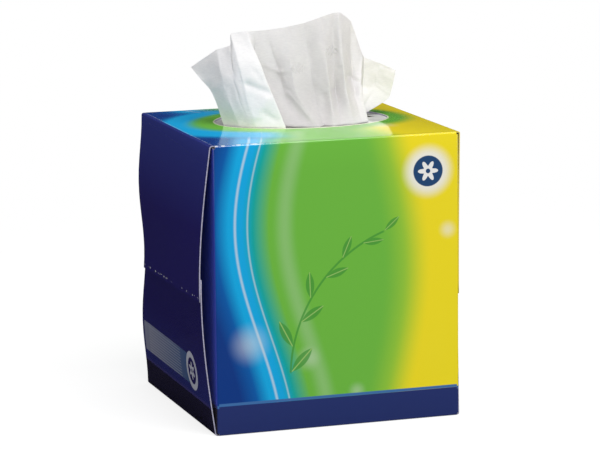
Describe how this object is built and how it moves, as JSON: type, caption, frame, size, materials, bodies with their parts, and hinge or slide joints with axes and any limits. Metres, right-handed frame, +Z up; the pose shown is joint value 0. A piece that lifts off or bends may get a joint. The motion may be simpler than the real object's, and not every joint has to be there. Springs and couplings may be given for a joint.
{
  "type": "tissue box",
  "caption": "Cube-shaped printed paperboard box of facial tissues with an oval slit opening in the top and a sheet pulled up through it.",
  "frame": {"origin": "centre of the bottom panel's outer face, between its creases", "axes": "+Z up, -Y out of the front panel, +X to the right as seen from the front"},
  "size_m": [0.1192, 0.11, 0.173],
  "materials": {
    "carton": "varnished print",
    "film": "clear film",
    "stack": "soft paper",
    "tissue": "soft paper"
  },
  "bodies": {
    "root": {"carton": "carton", "slit_film": "film", "tissue_stack": "stack", "pulled_tissue": "tissue"}
  },
  "joints": []
}
